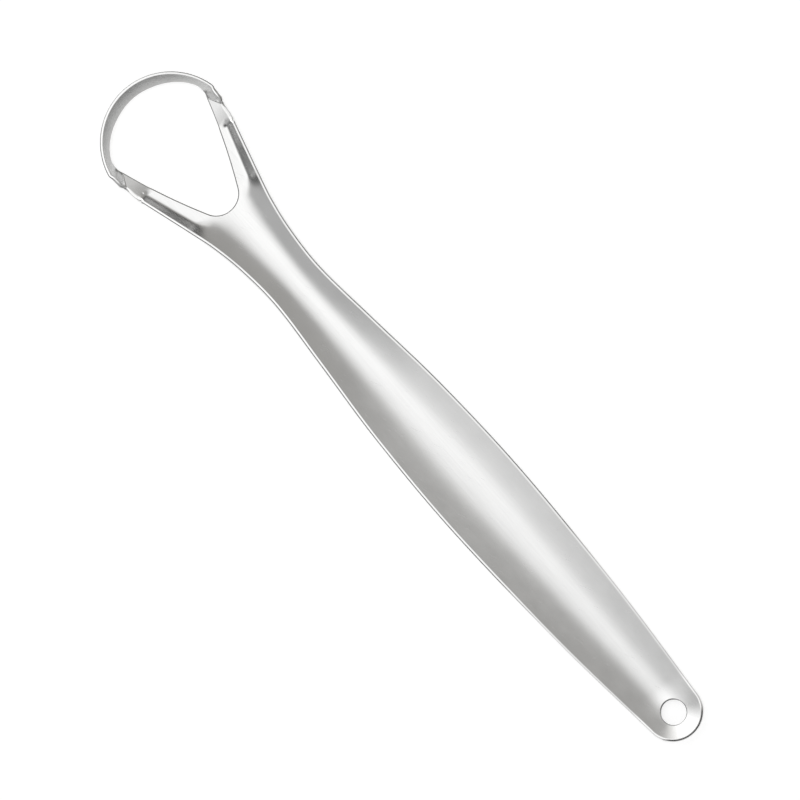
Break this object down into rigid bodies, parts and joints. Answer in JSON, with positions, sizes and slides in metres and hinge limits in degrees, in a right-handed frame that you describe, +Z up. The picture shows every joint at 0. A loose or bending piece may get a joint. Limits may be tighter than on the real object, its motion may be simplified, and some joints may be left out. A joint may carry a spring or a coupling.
{
  "type": "tongue scraper",
  "caption": "Hand-held tongue scraper: an open, outward-leaning scraping loop on flanged arms, a hollow waisted handle and a turned-up tab with a hanging hole, pressed from stainless sheet.",
  "frame": {"origin": "middle of the length and width, on the surface that the scraper lies on", "axes": "+X along the handle from the scraping loop to the hanging tab, +Y to the right of someone holding the handle, +Z up out of the hollow side"},
  "size_m": [0.145, 0.0234, 0.0038],
  "materials": {
    "satin_steel": "satin"
  },
  "bodies": {
    "root": {"scraping_loop": "satin_steel", "left_arm": "satin_steel", "right_arm": "satin_steel", "yoke": "satin_steel", "neck": "satin_steel", "grip": "satin_steel", "hanging_tab": "satin_steel"}
  },
  "joints": []
}
